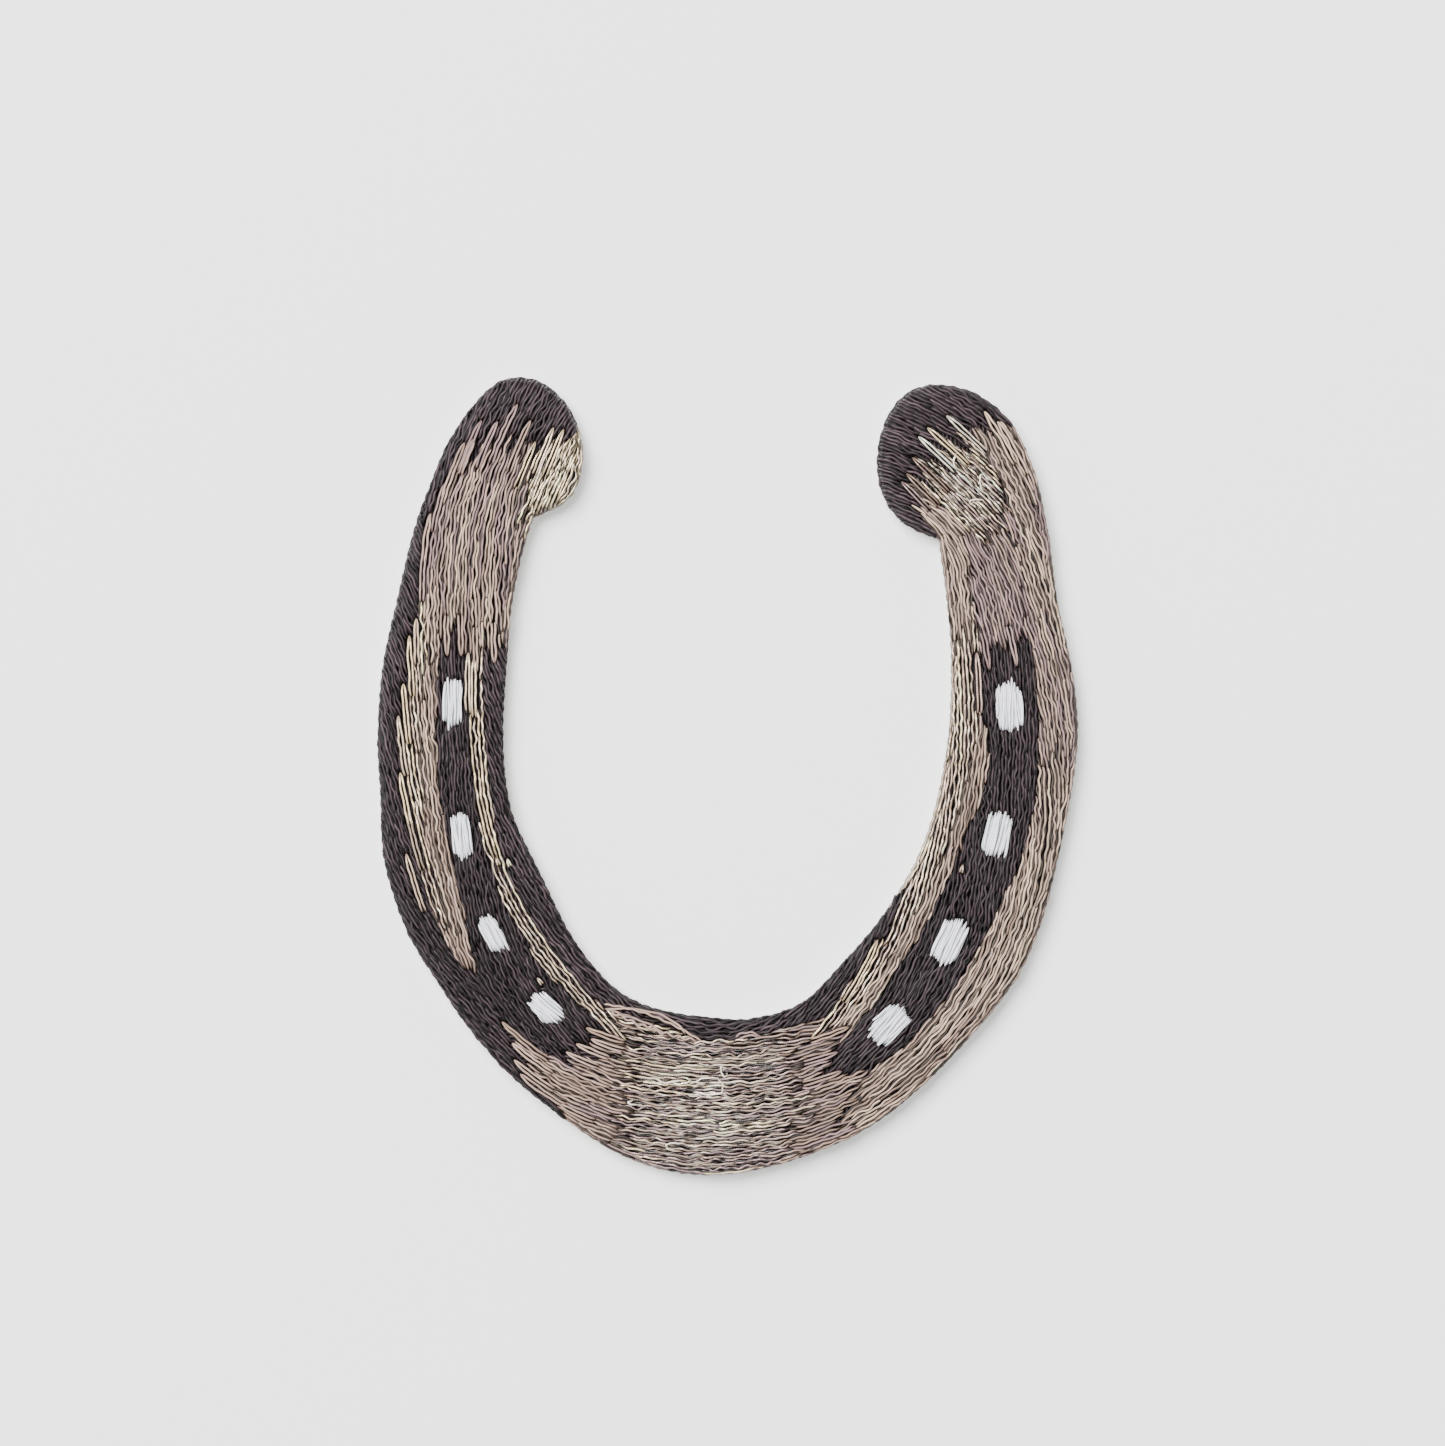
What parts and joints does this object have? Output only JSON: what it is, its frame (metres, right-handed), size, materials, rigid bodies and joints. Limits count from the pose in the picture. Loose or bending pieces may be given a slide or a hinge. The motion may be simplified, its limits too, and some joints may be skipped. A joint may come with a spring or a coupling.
{
  "type": "embroidered horseshoe",
  "caption": "Flat embroidered horseshoe applique: felt backing, linen ground, dark underlay and shaded long-and-short stitched fields with white satin nail holes.",
  "frame": {"origin": "centre of the bounding box in plan, on the flat back of the felt", "axes": "+Z out of the stitched face, +Y from the toe to the open heels, +X to the right branch as the face is looked at"},
  "size_m": [0.0698, 0.0796, 0.0036],
  "materials": {
    "thread_dark": "stranded cotton, soft sheen",
    "thread_mauve": "stranded cotton, soft sheen",
    "thread_taupe": "stranded cotton, soft sheen",
    "thread_beige": "stranded cotton, soft sheen",
    "thread_gold": "cotton with metallic champagne thread",
    "thread_white": "satin stitch in white silk",
    "linen": "plain-woven white linen",
    "felt": "pressed cream felt"
  },
  "bodies": {
    "root": {"underlay_left_branch": "thread_dark", "underlay_toe": "thread_dark", "underlay_right_branch": "thread_dark", "left_heel_cap_dark": "thread_dark", "left_outer_border_dark": "thread_dark", "left_crease_upper_dark": "thread_dark", "left_crease_lower_dark": "thread_dark", "left_lower_outer_dark": "thread_dark", "left_inner_border_dark": "thread_dark", "toe_inner_border_dark": "thread_dark", "right_inner_border_dark": "thread_dark", "right_crease_upper_dark": "thread_dark", "right_crease_lower_dark": "thread_dark", "right_heel_cap_dark": "thread_dark", "left_web_mauve": "thread_mauve", "toe_right_mauve": "thread_mauve", "right_web_mauve": "thread_mauve", "left_outer_stripe_taupe": "thread_taupe", "toe_left_taupe": "thread_taupe", "right_lower_band_taupe": "thread_taupe", "right_inner_band_taupe": "thread_taupe", "right_outer_band_lower_beige": "thread_beige", "right_outer_band_upper_beige": "thread_beige", "left_heel_gold": "thread_gold", "left_outer_gold": "thread_gold", "left_inner_gold": "thread_gold", "toe_centre_gold": "thread_gold", "right_inner_gold": "thread_gold", "right_heel_gold": "thread_gold", "left_nail_hole_1": "thread_white", "left_nail_hole_2": "thread_white", "left_nail_hole_3": "thread_white", "left_nail_hole_4": "thread_white", "right_nail_hole_1": "thread_white", "right_nail_hole_2": "thread_white", "right_nail_hole_3": "thread_white", "right_nail_hole_4": "thread_white", "linen_ground": "linen", "backing_felt": "felt"}
  },
  "joints": []
}
